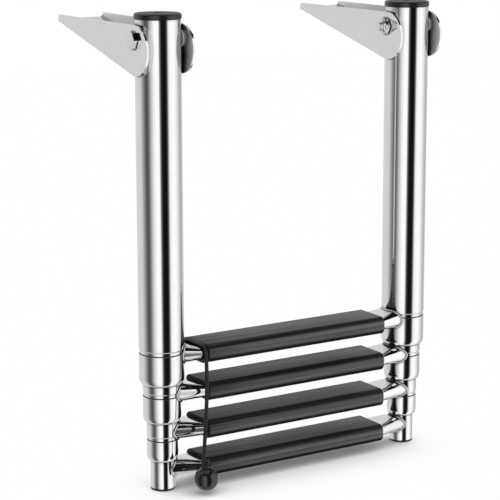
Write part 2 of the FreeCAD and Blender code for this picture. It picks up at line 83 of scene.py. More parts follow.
def makeCamera(setup):
    data = bpy.data.cameras.new("photoCamera")
    data.sensor_width = setup["sensor"]
    data.lens = setup["focalPixels"] / setup["frameWidth"] * setup["sensor"]
    data.shift_y = setup["shiftY"]
    data.clip_start, data.clip_end = setup["clip"]
    camera = newObject("photoCamera", data)
    pan, pitch = setup["pan"], setup["pitch"]
    level = math.cos(pitch)
    aim = Vector((math.sin(pan) * level, math.cos(pan) * level, -math.sin(pitch)))
    turn = aim.to_track_quat("-Z", "Y").to_matrix() @ Matrix.Rotation(setup["roll"], 3, "Z")
    camera.matrix_world = Matrix.Translation(setup["place"]) @ turn.to_4x4()
    scene.camera = camera


makeCamera(cameraSetup)
print("camera in place")


# Small helpers for shader trees
def newMaterial(name):
    material = bpy.data.materials.new(name)
    material.use_nodes = True
    tree = material.node_tree
    shader = tree.nodes["Principled BSDF"]
    coords = tree.nodes.new("ShaderNodeTexCoord")
    return material, tree, shader, coords.outputs["Object"]


# A socket takes another's value or a plain one
def feed(tree, socket, value):
    if isinstance(value, bpy.types.NodeSocket):
        tree.links.new(value, socket)
    elif value is not None:
        socket.default_value = value


def stretched(tree, vector, scale):
    mapping = tree.nodes.new("ShaderNodeMapping")
    mapping.inputs["Scale"].default_value = scale
    tree.links.new(vector, mapping.inputs["Vector"])
    return mapping.outputs["Vector"]


def separated(tree, vector):
    node = tree.nodes.new("ShaderNodeSeparateXYZ")
    tree.links.new(vector, node.inputs["Vector"])
    return node.outputs


def noise(tree, vector, scale, detail=3.0, rough=0.5):
    node = tree.nodes.new("ShaderNodeTexNoise")
    node.inputs["Scale"].default_value = scale
    node.inputs["Detail"].default_value = detail
    node.inputs["Roughness"].default_value = rough
    tree.links.new(vector, node.inputs["Vector"])
    return node.outputs["Fac"]


def ranged(tree, value, low, high, fromLow=0.3, fromHigh=0.7):
    node = tree.nodes.new("ShaderNodeMapRange")
    node.inputs["From Min"].default_value = fromLow
    node.inputs["From Max"].default_value = fromHigh
    node.inputs["To Min"].default_value = low
    node.inputs["To Max"].default_value = high
    tree.links.new(value, node.inputs["Value"])
    return node.outputs["Result"]


def blended(tree, factor, first, second):
    node = tree.nodes.new("ShaderNodeMix")
    node.data_type = "RGBA"
    tree.links.new(factor, node.inputs["Factor"])
    for socket, color in ((node.inputs[6], first), (node.inputs[7], second)):
        feed(tree, socket, color if isinstance(color, bpy.types.NodeSocket) else (*color, 1))
    return node.outputs[2]


def bumped(tree, shader, height, distance, strength=1.0, before=None):
    node = tree.nodes.new("ShaderNodeBump")
    node.inputs["Distance"].default_value = distance
    node.inputs["Strength"].default_value = strength
    tree.links.new(height, node.inputs["Height"])
    if before is not None:
        tree.links.new(before, node.inputs["Normal"])
    tree.links.new(node.outputs["Normal"], shader.inputs["Normal"])
    return node.outputs["Normal"]


# A gray ramp: stops are (value, level) in the input's own units
def ramped(tree, value, stops, fromLow=0.0, fromHigh=1.0, interpolation="LINEAR"):
    node = tree.nodes.new("ShaderNodeValToRGB")
    node.color_ramp.interpolation = interpolation
    elements = node.color_ramp.elements
    places = [(place - fromLow) / (fromHigh - fromLow) for place, _ in stops]
    elements[0].position, elements[1].position = places[0], places[-1]
    for place in places[1:-1]:
        elements.new(place)
    for element, place, (_, level) in zip(elements, places, stops):
        element.position = place
        element.color = (level, level, level, 1)
    tree.links.new(ranged(tree, value, 0.0, 1.0, fromLow, fromHigh), node.inputs["Fac"])
    return node.outputs["Color"]


def maths(tree, operation, first, second=None):
    node = tree.nodes.new("ShaderNodeMath")
    node.operation = operation
    for socket, value in zip(node.inputs, (first, second)):
        feed(tree, socket, value)
    return node.outputs[0]


# Painted shade: the steel's colour is darkened in creases and where parts meet, from how closed in a place
# is
creviceShade = {
    "reach": 0.0026,
    "samples": 8,
    "curve": [(0.0, 1.0), (0.62, 1.0), (0.82, 0.45), (0.94, 0.0), (1.0, 0.0)],
    "color": (0.020, 0.020, 0.020),
}

# Brackets are polished outside only: inside, the sheet keeps the mill's satin
bracketInside = {
    "roughness": 0.30,
    "reach": 0.0206,       # from the middle of a bracket, along X
    "fade": 0.0003,
    "spacing": 0.25,       # from bracket to bracket
}


# A colour with faint clouds in it
def clouded(tree, objectPoint, color, look):
    cloud = noise(tree, objectPoint, look["cloudScale"], 4.0)
    other = [part * look["cloudShade"] for part in color]
    return blended(tree, ranged(tree, cloud, 0.0, 1.0), color, other)


def unevenGloss(tree, texture, roughness, look):
    return ranged(tree, texture, *[roughness * share for share in look["glossSpread"]])


steelLook = {
    "cloudScale": 60.0,
    "cloudShade": 0.965,
    "glossSpread": (0.7, 1.35),
    "waveScale": 26.0,
    "lineDepth": 0.000002,
    "lineStrength": 0.35,
}


# Polished stainless steel: faint lengthwise polishing lines and slow waves in its gloss, and painted shade
# darkening its colour in crevices
def makeSteel(name, color, roughness, grain, waves=0.00001, creviceShaded=True, inside=None):
    material, tree, shader, objectPoint = newMaterial(name)
    shader.inputs["Metallic"].default_value = 1.0
    tint = clouded(tree, objectPoint, color, steelLook)
    if creviceShaded:
        # painted shade: the colour goes dark where ambient occlusion finds the steel closed in
        openness = tree.nodes.new("ShaderNodeAmbientOcclusion")
        openness.samples = creviceShade["samples"]
        openness.inputs["Distance"].default_value = creviceShade["reach"]
        paintedShade = ramped(tree, openness.outputs["AO"], creviceShade["curve"])
        tint = blended(tree, paintedShade, tint, creviceShade["color"])
    tree.links.new(tint, shader.inputs["Base Color"])
    lines = noise(tree, stretched(tree, objectPoint, grain), 1.0, 2.0)
    gloss = unevenGloss(tree, lines, roughness, steelLook)
    if inside:
        out = maths(tree, "PINGPONG", separated(tree, objectPoint)["X"], inside["spacing"] / 2)
        reach = inside["reach"]
        satin = ranged(tree, out, inside["roughness"], 0.0, reach, reach + inside["fade"])
        gloss = maths(tree, "ADD", gloss, satin)
    tree.links.new(gloss, shader.inputs["Roughness"])
    slow = noise(tree, objectPoint, steelLook["waveScale"], 1.0)
    wavy = bumped(tree, shader, slow, waves)
    bumped(tree, shader, lines, steelLook["lineDepth"], steelLook["lineStrength"], wavy)
    return material


plasticLook = {
    "cloudScale": 90.0,
    "cloudShade": 1.25,
    "glossSpread": (0.85, 1.15),
}


# Moulded plastic: fine sparked grain and a slightly uneven gloss
def makePlastic(name, color, roughness, grainScale, grainDepth, specular=0.5):
    material, tree, shader, objectPoint = newMaterial(name)
    shader.inputs["Specular IOR Level"].default_value = specular
    tree.links.new(clouded(tree, objectPoint, color, plasticLook), shader.inputs["Base Color"])
    grain = noise(tree, objectPoint, grainScale, 2.0)
    tree.links.new(unevenGloss(tree, grain, roughness, plasticLook), shader.inputs["Roughness"])
    bumped(tree, shader, grain, grainDepth)
    return material


treadLook = {
    "color": (0.0095, 0.0095, 0.0099),
    "paler": (0.0195, 0.0195, 0.0200),
    "streakScale": (5.0, 150.0, 560.0),
    # by the upward part of the surface's direction: the front and back are glossy, the top is dull
    "gloss": [(-1.0, 0.0), (-0.36, 0.0), (-0.22, 0.30), (-0.08, 0.93), (0.12, 0.92), (0.34, 0.55),
              (0.46, 0.17), (0.93, 0.12), (0.985, 0.09), (1.0, 0.10)],
    "roughness": [(-1.0, 0.4), (0.3, 0.26), (0.9, 0.27), (1.0, 0.26)],
    "streakGloss": (0.60, 1.35),
    "endGloss": 0.06,      # the ends are left as cut
}

capLook = {
    "color": (0.0085, 0.0085, 0.0090),
    "paler": (0.0120, 0.0120, 0.0125),
    "streakScale": (350.0, 350.0, 350.0),
    "gloss": [(-1.0, 0.2), (-0.2, 0.5), (0.3, 0.5), (0.85, 0.35), (1.0, 0.22)],
    "roughness": [(-1.0, 0.3), (0.4, 0.22), (0.95, 0.36), (1.0, 0.46)],
    "streakGloss": (0.9, 1.1),
    "endGloss": 1.0,
}

mouldGrain = {
    "scale": 5200.0,
    "depth": 0.000012,
    "strength": 0.5,
    "streakDepth": 0.00010,
    "streakStrength": 0.7,
    "endRange": (0.2, 0.6),     # sideways part of the direction from which a face is an end
}


# Black mouldings: the tread is drawn lengthwise in its mould, so its streaks run along the step
def makeMoulding(name, look):
    material, tree, shader, objectPoint = newMaterial(name)
    streaks = noise(tree, stretched(tree, objectPoint, look["streakScale"]), 1.0, 3.0)
    tree.links.new(blended(tree, ranged(tree, streaks, 0.0, 1.0), look["color"], look["paler"]),
                   shader.inputs["Base Color"])
    facing = separated(tree, tree.nodes.new("ShaderNodeTexCoord").outputs["Normal"])
    gloss = ramped(tree, facing["Z"], look["gloss"], -1.0, 1.0)
    gloss = maths(tree, "MULTIPLY", gloss, ranged(tree, streaks, *look["streakGloss"]))
    sideways = maths(tree, "ABSOLUTE", facing["X"])
    endwise = ranged(tree, sideways, 1.0, look["endGloss"], *mouldGrain["endRange"])
    gloss = maths(tree, "MULTIPLY", gloss, endwise)
    tree.links.new(gloss, shader.inputs["Specular IOR Level"])
    roughness = ramped(tree, facing["Z"], look["roughness"], -1.0, 1.0)
    tree.links.new(roughness, shader.inputs["Roughness"])
    grain = noise(tree, objectPoint, mouldGrain["scale"], 1.0)
    fine = bumped(tree, shader, grain, mouldGrain["depth"], mouldGrain["strength"])
    bumped(tree, shader, streaks, mouldGrain["streakDepth"], mouldGrain["streakStrength"], fine)
    return material


# Steels take colour, roughness and the scale of their lines, plastics the scale and depth of their grain
steelGray = (0.80, 0.80, 0.81)
softBlack = (0.010, 0.010, 0.011)
finishes = {
    "tube": makeSteel("polishedTube", steelGray, 0.032, (700.0, 700.0, 9.0)),
    "step": makeSteel("polishedStep", steelGray, 0.045, (9.0, 700.0, 700.0)),
    "bracket": makeSteel("bracketSheet", (0.78, 0.78, 0.79), 0.035, (500.0, 14.0, 500.0), 0.000004,
                         inside=bracketInside),
    "fastener": makeSteel("turnedFastener", (0.76, 0.76, 0.77), 0.07, (300.0, 300.0, 300.0),
                          creviceShaded=False),
    "weld": makeSteel("weldBead", (0.78, 0.78, 0.78), 0.12, (400.0, 400.0, 400.0)),
    "nylon": makePlastic("naturalNylon", (0.62, 0.62, 0.60), 0.45, 2500.0, 0.00002),
    "tread": makeMoulding("treadPlastic", treadLook),
    "cap": makeMoulding("capPlastic", capLook),
    "ball": makePlastic("ballGloss", softBlack, 0.10, 1500.0, 0.000002, 0.6),
    "strap": makePlastic("strapRubber", softBlack, 0.42, 3000.0, 0.00003, 0.35),
}
print("finishes made")


# A finished mesh gets its object, finish and body, and stands for its nodes
def addPiece(name, mesh, finish, body, *nodes):
    piece = newObject(name, mesh)
    mesh.materials.clear()
    mesh.materials.append(finishes[finish])
    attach(piece, body)
    if nodes:
        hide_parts(*nodes)
    return piece


# What the modifiers make of a mesh, as a plain mesh
def bakedMesh(name, mesh, *setups):
    base = newObject(name + "Base", mesh)
    for kind, setup in setups:
        modifier = base.modifiers.new(kind.lower(), kind)
        for key, value in setup.items():
            if key.startswith("Socket_"):
                modifier[key] = value
            else:
                setattr(modifier, key, value)
    bpy.context.view_layer.update()
    evaluated = base.evaluated_get(bpy.context.evaluated_depsgraph_get())
    made = bpy.data.meshes.new_from_object(evaluated)
    made.name = name
    bpy.data.objects.remove(base)
    return made


# Node groups for what repeats along a path: each takes its sizes as named inputs
def newGroup(name, inputs):
    group = bpy.data.node_groups.new(name, "GeometryNodeTree")
    group.interface.new_socket("Geometry", in_out="INPUT", socket_type="NodeSocketGeometry")
    group.interface.new_socket("Geometry", in_out="OUTPUT", socket_type="NodeSocketGeometry")
    keys = {}
    for label, kind in inputs:
        item = group.interface.new_socket(label, in_out="INPUT", socket_type="NodeSocket" + kind)
        keys[label] = item.identifier
    return group, keys


def groupValues(group, keys, setup):
    return {"node_group": group, **{keys[label]: value for label, value in setup.items()}}


def geometryNode(group, kind, links=(), **settings):
    node = group.nodes.new(kind)
    for key, value in settings.items():
        if key in node.inputs:
            node.inputs[key].default_value = value
        else:
            setattr(node, key, value)
    for key, socket in dict(links).items():
        group.links.new(socket, node.inputs[key])
    return node


def finishGroup(group, geometry, material):
    smooth = geometryNode(group, "GeometryNodeSetShadeSmooth", {"Geometry": geometry})
    realized = geometryNode(group, "GeometryNodeRealizeInstances", {"Geometry": smooth.outputs[0]})
    dressed = geometryNode(group, "GeometryNodeSetMaterial",
                           {"Geometry": realized.outputs[0], "Material": material})
    ending = group.nodes.new("NodeGroupOutput")
    group.links.new(dressed.outputs[0], ending.inputs["Geometry"])


beadMesh = {
    "pointsPerRipple": 6.0,
    "sides": 12,
}


# A welder's bead along a loop of edges, with its ripples
def makeBeadGroup():
    inputs = (("Bead Radius", "Float"), ("Ripples", "Int"), ("Ripple Depth", "Float"),
              ("Unevenness", "Float"), ("Seed", "Int"), ("Material", "Material"))
    group, keys = newGroup("weldBead", inputs)
    start = group.nodes.new("NodeGroupInput").outputs
    path = geometryNode(group, "GeometryNodeMeshToCurve", {"Mesh": start["Geometry"]})
    count = maths(group, "MULTIPLY", start["Ripples"], beadMesh["pointsPerRipple"])
    even = geometryNode(group, "GeometryNodeResampleCurve", {"Curve": path.outputs[0], "Count": count})
    along = group.nodes.new("GeometryNodeSplineParameter")
    turns = maths(group, "MULTIPLY", start["Ripples"], 2 * math.pi)
    wave = maths(group, "SINE", maths(group, "MULTIPLY", along.outputs["Factor"], turns))
    wave = maths(group, "MULTIPLY", wave, start["Ripple Depth"])
    chance = group.nodes.new("FunctionNodeRandomValue")
    chance.data_type = "FLOAT"
    chance.inputs[2].default_value = -1.0
    chance.inputs[3].default_value = 1.0
    group.links.new(start["Seed"], chance.inputs["Seed"])
    wander = maths(group, "MULTIPLY", chance.outputs[1], start["Unevenness"])
    radius = maths(group, "ADD", maths(group, "ADD", wave, wander), 1.0)
    swollen = geometryNode(group, "GeometryNodeSetCurveRadius",
                           {"Curve": even.outputs[0], "Radius": radius})
    section = geometryNode(group, "GeometryNodeCurvePrimitiveCircle", {"Radius": start["Bead Radius"]},
                           Resolution=beadMesh["sides"])
    bead = geometryNode(group, "GeometryNodeCurveToMesh",
                        {"Curve": swollen.outputs[0], "Profile Curve": section.outputs["Curve"]})
    finishGroup(group, bead.outputs[0], start["Material"])
    return group, keys


# Strap: its cord hangs from the ring round the top step and ends in the ball
strap = {
    "diameter": 0.0033,
    "length": 0.0962,
    # from the front of the ring, the same points as the strap's solid
    "route": [
        (0.0, 0.0, 0.0),
        (-0.0008, -0.0022, -0.0130),
        (-0.0029, -0.0056, -0.0330),
        (-0.0058, -0.0087, -0.0540),
        (-0.0090, -0.0113, -0.0750),
        (-0.0116, -0.0134, -0.0945),
    ],
}


def makeCord(setup):
    low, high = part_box("strap_ring")
    radius = setup["diameter"] / 2
    start = Vector(((low.x + high.x) / 2, low.y + radius, (low.z + high.z) / 2))
    curve = bpy.data.curves.new("strapCord", "CURVE")
    curve.dimensions = "3D"
    curve.bevel_depth = radius
    curve.bevel_resolution = 8
    curve.use_fill_caps = True
    spline = curve.splines.new("NURBS")
    spline.points.add(len(setup["route"]) - 1)
    for point, offset in zip(spline.points, setup["route"]):
        point.co = (*(start + Vector(offset)), 1)
    spline.order_u = 3
    spline.use_endpoint_u = True
    spline.resolution_u = 16
    cord = addPiece("strapCord", curve, "strap", "upper_section", "strap_cord")
    return cord, start


cord, cordStart = makeCord(strap)


# Skins: rows of rings joined into a closed mesh whose shading follows the true surface
def skinMesh(name, rings, closedAlong=False, creaseDegrees=None):
    rings = [np.asarray(ring, float) for ring in rings]
    starts = np.cumsum([0] + [len(ring) for ring in rings])
    points = np.vstack(rings)
    around = max(len(ring) for ring in rings)
    faces = []
    rows = len(rings) if closedAlong else len(rings) - 1
    for row in range(rows):
        after = (row + 1) % len(rings)
        near, far = starts[row], starts[after]
        for step in range(around):
            onward = (step + 1) % around
            corners = [near + step, near + onward, far + onward, far + step]
            if len(rings[row]) == 1:
                corners = [near, far + onward, far + step]
            elif len(rings[after]) == 1:
                corners = [near + step, near + onward, far]
            faces.append([int(corner) for corner in corners])
    normals = np.zeros_like(points)
    for row, ring in enumerate(rings):
        if len(ring) == 1:
            continue
        before = rings[row - 1] if row or closedAlong else ring
        after = rings[(row + 1) % len(rings)] if row + 1 < len(rings) or closedAlong else ring
        along = np.broadcast_to(after, (around, 3)) - np.broadcast_to(before, (around, 3))
        across = np.roll(ring, -1, 0) - np.roll(ring, 1, 0)
        normals[starts[row]:starts[row + 1]] = np.cross(across, along)
    lengths = np.linalg.norm(normals, axis=1)
    lengths[lengths == 0] = 1
    normals = normals / lengths[:, None]
    volume = 0.0
    for face in faces:
        first = points[face[0]]
        for second, third in zip(face[1:], face[2:]):
            volume += np.dot(first, np.cross(points[second], points[third]))
    if volume < 0:
        faces = [face[::-1] for face in faces]
        normals = -normals
    mesh = newMesh(name, points.tolist(), [], faces)
    for row, ring in enumerate(rings):     # a pole looks along the mean of the faces that meet in it
        if len(ring) == 1:
            pole = int(starts[row])
            total = Vector((0, 0, 0))
            for polygon in mesh.polygons:
                if pole in polygon.vertices:
                    total += polygon.normal
            normals[pole] = total.normalized()
    mesh.shade_smooth()
    if creaseDegrees is None:
        mesh.normals_split_custom_set_from_vertices(normals.tolist())
    else:
        mesh.set_sharp_from_angle(angle=math.radians(creaseDegrees))
    return mesh


# Outline points from corners of (across, up, radius), where a radius rounds its corner
def roundedOutline(corners, steps=5):
    outline = []
    count = len(corners)
    for index, (across, up, radius) in enumerate(corners):
        here = Vector((across, up))
        if radius <= 0:
            outline.append(here)
            continue
        back = (Vector(corners[index - 1][:2]) - here).normalized()
        onward = (Vector(corners[(index + 1) % count][:2]) - here).normalized()
        half = back.angle(onward) / 2
        reach = radius / math.tan(half)
        centre = here + (back + onward).normalized() * (radius / math.sin(half))
        first = here + back * reach - centre
        last = here + onward * reach - centre
        turn = first.angle_signed(last)
        for step in range(steps + 1):
            outline.append(centre + Matrix.Rotation(-turn * step / steps, 2) @ first)
    return outline


# An outline of (radius, height) points turned round an upright axis
def turnedMesh(name, outline, centre, count=128, closedAlong=True):
    angles = np.linspace(0, 2 * math.pi, count, endpoint=False)
    rings = []
    for radius, height in outline:
        if radius < 1e-7:      # a pole
            rings.append([(centre[0], centre[1], height)])
        else:
            rings.append(np.column_stack((centre[0] + radius * np.cos(angles),
                                          centre[1] + radius * np.sin(angles),
                                          np.full(count, height))))
    return skinMesh(name, rings, closedAlong)


# An outline turned round a node's upright axis, as a piece
def addTurned(name, outline, node, finish, body, *nodes, closedAlong=True):
    mesh = turnedMesh(name, outline, middleOf(node), closedAlong=closedAlong)
    return addPiece(name, mesh, finish, body, *nodes)


# Tubes and their collars
tubing = {
    "wall": 0.0012,
    "endRounding": 0.0003,
    "rolledBand": 0.0026,     # the tube's lower end is rolled in a little over this height
    "rolledDepth": 0.0005,
    "rolledSlope": 0.0008,
    "rolledEdge": 0.0002,
    "seamGroove": 0.0006,
    "shadeRingInset": 0.00062,
    "shadeRingDepth": 0.0011,
    "shadeRingLap": 0.0002,        # the black ring of painted shade reaches this far into the tube and the collar
    "shadeRingEdge": 0.0001,
    "slideGap": 0.00025,
    "seatGap": 0.00005,
    "collarLip": 0.0004,
    "collarNose": 0.0056,
    "noseDegrees": 88,
    "noseSteps": 18,
    "shoulderLine": 0.002,    # the collar is straight over this height under its shoulder
}


def tubeRadius(number):
    low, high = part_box("tube_%d_left" % number)
    return (high.x - low.x) / 2


def seatRadius(number):     # of what is seated in a tube's end
    return tubeRadius(number) - tubing["wall"] - tubing["seatGap"]


def makeTube(number, side):
    node = "tube_%d_%s" % (number, side)
    low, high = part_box(node)
    outer = tubeRadius(number)
    inner = outer - tubing["wall"]
    edge = tubing["endRounding"]
    corners = [(outer, low.z, edge)]
    if number < len(sectionBodies):
        band = low.z + tubing["rolledBand"]
        rolled, soft = outer - tubing["rolledDepth"], tubing["rolledEdge"]
        corners = [(rolled, low.z, edge), (rolled, band, soft), (outer, band + tubing["rolledSlope"], soft)]
    corners += [(outer, high.z, edge), (inner, high.z, edge), (inner, low.z, edge)]
    addTurned("postTube%d_%s" % (number, side), roundedOutline(corners), node,
              "tube", sectionBodies[number], node)


def makeCollar(number, side):
    node = "collar_%d_%s" % (number, side)
    low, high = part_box(node)
    outer = tubeRadius(number)
    bore = tubeRadius(number + 1) + tubing["slideGap"]
    lip = bore + tubing["collarLip"]
    nose = tubing["collarNose"]
    stepIn = outer - lip
    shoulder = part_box("tube_%d_%s" % (number, side))[0].z - tubing["seamGroove"]
    neck = seatRadius(number)
    edge = tubing["endRounding"]
    outline = []
    for step in range(tubing["noseSteps"] + 1):
        turn = math.radians(tubing["noseDegrees"]) * (1 - step / tubing["noseSteps"])
        outline.append((outer - stepIn * (1 - math.cos(turn)), low.z + nose * (1 - math.sin(turn))))
    corners = [(outer, shoulder - tubing["shoulderLine"], 0), (outer, shoulder, edge), (neck, shoulder, 0),
               (neck, high.z, edge), (bore, high.z, edge), (bore, low.z, edge), (lip, low.z, 0)]
    outline += roundedOutline(corners)[:-1]
    addTurned("collar%d_%s" % (number, side), outline, node, "tube", sectionBodies[number], node)


# Painted shade: a black ring fills the seam between each tube and its collar, standing in for the shade in
# the groove
def makeSeamShadeRing(number, side):
    tube = "tube_%d_%s" % (number, side)
    mouth, groove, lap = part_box(tube)[0].z, tubing["seamGroove"], tubing["shadeRingLap"]
    front, back = (tubeRadius(number) - tubing[key] for key in ("shadeRingInset", "shadeRingDepth"))
    edge = tubing["shadeRingEdge"]
    outline = roundedOutline([(front, mouth - groove - lap, edge), (front, mouth + lap, edge),
                              (back, mouth + lap, 0), (back, mouth - groove, 0)])
    addTurned("seamShadeRing%d_%s" % (number, side), outline, tube, "cap", sectionBodies[number])


# Cap on each post and plug in each foot
ends = {
    "capRounding": 0.0017,
    "capUnderEdge": 0.0005,
    "dimpleRadius": 0.0035,
    "dimpleDepth": 0.0008,
    "dimpleRim": (0.0012, 0.0004, 0.0003),   # how wide the rim is, and its rounding above and below
    "dimpleSlope": 0.8,
    "crown": 0.0002,
    "crownStart": (0.86, 0.3),               # share of the radius, and of the crown left there
    "footRounding": 0.0008,
    "footEdge": 0.0002,
    "plugEdge": 0.0005,
}


def makeCap(side):
    node = "post_cap_" + side
    low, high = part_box(node)
    radius = (high.x - low.x) / 2
    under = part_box("tube_1_" + side)[1].z
    plug = seatRadius(1)
    dimple, depth, crown = ends["dimpleRadius"], ends["dimpleDepth"], ends["crown"]
    rim, above, below = ends["dimpleRim"]
    out, left = ends["crownStart"]
    outline = roundedOutline([
        (0, low.z, 0), (plug, low.z, ends["plugEdge"]), (plug, under, 0),
        (radius, under, ends["capUnderEdge"]), (radius, high.z - crown, ends["capRounding"]),
        (radius * out, high.z - crown * left, 0),
        (dimple + rim, high.z, 0), (dimple, high.z, above),
        (dimple - depth * ends["dimpleSlope"], high.z - depth, below), (0, high.z - depth, 0)])
    addTurned("postCap_" + side, outline, node, "cap", "upper_section", node, closedAlong=False)


def makeFootPlug(side):
    node = "foot_plug_" + side
    low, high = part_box(node)
    radius = (high.x - low.x) / 2
    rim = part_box("tube_4_" + side)[0].z
    plug = seatRadius(4)
    outline = roundedOutline([
        (0, low.z, 0), (radius, low.z, ends["footRounding"]), (radius, rim, ends["footEdge"]),
        (plug, rim, 0), (plug, high.z, ends["plugEdge"]), (0, high.z, 0)])
    addTurned("footPlug_" + side, outline, node, "cap", "bottom_section", node, closedAlong=False)


for side in sides:
    for number in sectionBodies:
        makeTube(number, side)
        if number < len(sectionBodies):
            makeCollar(number, side)
            makeSeamShadeRing(number, side)
    makeCap(side)
    makeFootPlug(side)
print("tubes, collars, caps and plugs turned")


# Step tubes: a flat oval under the tread that runs out straight into the round end at each post
stepForm = {
    "flatHalf": 0.0911,     # just past the tread's end
    "ringHalf": 0.0949,     # on the left of the top step, just past the strap's ring
    "ringStep": 1,
    "flatHeight": 0.0100,
    "flatDrop": 0.0009,
    "swellWidth": 0.030,
    "swellShare": 0.97,
    "swellHeight": 0.0154,
    "endPoints": 18,        # points round each half circle
    "swellRings": 14,
    "intoPost": 0.0004,
    "weldOut": 0.0002,      # the weld's middle stands this far out from the post
}


# A step's section: the front end from the bottom up and then the back end from the top down,
# each followed by two points on the flat
def ovalRing(width, height, x, middleY, middleZ, endPoints):
    radius = height / 2
    reach = (width - height) / 2
    points = []
    for way in (-1, 1):
        for turn in range(endPoints + 1):
            angle = way * math.pi / 2 - math.pi * turn / endPoints
            points.append((x, middleY + way * reach + radius * math.cos(angle),
                           middleZ + radius * math.sin(angle)))
        for share in (way, -way):
            points.append((x, middleY + share * reach / 3, middleZ - way * radius))
    return np.array(points)


# Middle of a step along X, its post axis in Y and its level
def stepPlace(number):
    middle = middleOf("step_%d" % number)
    return middle[0], middleOf("tube_1_left")[1], middle[2]


def flatRing(number, reach):
    low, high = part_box("step_%d" % number)
    middleX, middleY, middleZ = stepPlace(number)
    return ovalRing(high.y - low.y, stepForm["flatHeight"], middleX + reach, middleY,
                    middleZ - stepForm["flatDrop"], stepForm["endPoints"])


# The round end where it meets the post, each point slid along X until it lies on the post
def jointRing(number, way, extra=0.0):
    radius = tubeRadius(number)
    middleX, middleY, middleZ = stepPlace(number)
    halfSpan = middleX - middleOf("tube_1_left")[0]
    width = min(stepForm["swellWidth"], 2 * radius * stepForm["swellShare"])
    ring = ovalRing(width, stepForm["swellHeight"], middleX, middleY, middleZ, stepForm["endPoints"])
    depth = np.sqrt(np.maximum(radius ** 2 - (ring[:, 1] - middleY) ** 2, 0.0))
    ring[:, 0] = middleX + way * (halfSpan - depth + extra)
    return ring


def makeStep(number):
    rings = [flatRing(number, stepForm["flatHalf"] * share) for share in (-0.5, 0, 0.5)]
    for way in (-1, 1):
        flatHalf = stepForm["ringHalf" if number == stepForm["ringStep"] and way < 0 else "flatHalf"]
        start, end = flatRing(number, way * flatHalf), jointRing(number, way)
        swell = [start + (end - start) * share for share in np.linspace(0, 1, stepForm["swellRings"])]
        hidden = jointRing(number, way, stepForm["intoPost"])
        swell += [hidden, [hidden.mean(0)]]
        rings = rings + swell if way > 0 else swell[::-1] + rings
    mesh = skinMesh("stepTube%d" % number, rings)
    addPiece(mesh.name, mesh, "step", sectionBodies[number], "step_%d" % number)


# Welds: a bead round both ends of each step
welds = {
    "Bead Radius": 0.0011,
    "Ripples": 46,
    "Ripple Depth": 0.05,
    "Unevenness": 0.02,
    "Seed": 7,
    "Material": finishes["weld"],
}
beadGroup, beadKeys = makeBeadGroup()


def makeWelds(number, setup):
    loops = [jointRing(number, way, -stepForm["weldOut"]) for way in (-1, 1)]
    count = len(loops[0])
    edges = [(base + step, base + (step + 1) % count) for base in (0, count) for step in range(count)]
    mesh = newMesh("weldLoops%d" % number, np.vstack(loops).tolist(), edges)
    values = groupValues(beadGroup, beadKeys, setup)
    made = bakedMesh("stepWelds%d" % number, mesh, ("NODES", values))
    addPiece(made.name, made, "weld", sectionBodies[number])


for number in sectionBodies:
    makeStep(number)
    makeWelds(number, welds)
print("steps made and welded")


# Treads: moulded sleeves with a fine groove along their front and back
treadForm = {
    "wall": 0.0025,
    "rounding": 0.0056,
    "slot": 0.015,
    "grooveDepth": 0.00022,
    "grooveWidth": 0.0007,
    # shares of half the width and of the depth
    "grooveSection": ((-1, 0), (-0.45, 1), (0.45, 1), (1, 0)),
    "grooveLevels": (0.0003,),     # from the middle up
    "endRounding": 0.0010,
    "cornerSteps": 8,
    "endSteps": 4,
    "stations": (0.25, 0.5, 0.75),
    "sharpDegrees": 32,
}


# A sleeve's outside from one edge of the slot round to the other, as (y, z)
def treadOutline(halfWidth, halfHeight, form):
    radius = form["rounding"]
    halfSlot = form["slot"] / 2
    outer = [(-halfSlot, -halfHeight)]

    def corner(y, z, first):
        for step in range(form["cornerSteps"] + 1):
            angle = math.radians(first - 90 * step / form["cornerSteps"])
            outer.append((y + radius * math.cos(angle), z + radius * math.sin(angle)))

    def grooves(face, way):
        for level in form["grooveLevels"][::way]:
            for offset, depth in form["grooveSection"]:
                outer.append((face - math.copysign(depth * form["grooveDepth"], face),
                              level + way * offset * form["grooveWidth"] / 2))

    corner(-halfWidth + radius, -halfHeight + radius, 270)
    grooves(-halfWidth, 1)
    corner(-halfWidth + radius, halfHeight - radius, 180)
    corner(halfWidth - radius, halfHeight - radius, 90)
    grooves(halfWidth, -1)
    corner(halfWidth - radius, -halfHeight + radius, 0)
    outer.append((halfSlot, -halfHeight))
    return np.array(outer)


# The point of the hollow, a flat oval, behind each outer point
def treadInner(outer, halfWidth, halfHeight, form):
    wall = form["wall"]
    radius = halfHeight - wall
    reach = halfWidth - wall - radius
    inner = []
    for y, z in outer:
        if abs(y) <= reach:
            inner.append((y, math.copysign(radius, z)))
        else:
            side = math.copysign(reach, y)
            away = Vector((y - side, z)).normalized() * radius
            inner.append((side + away.x, away.y))
    return np.array(inner)


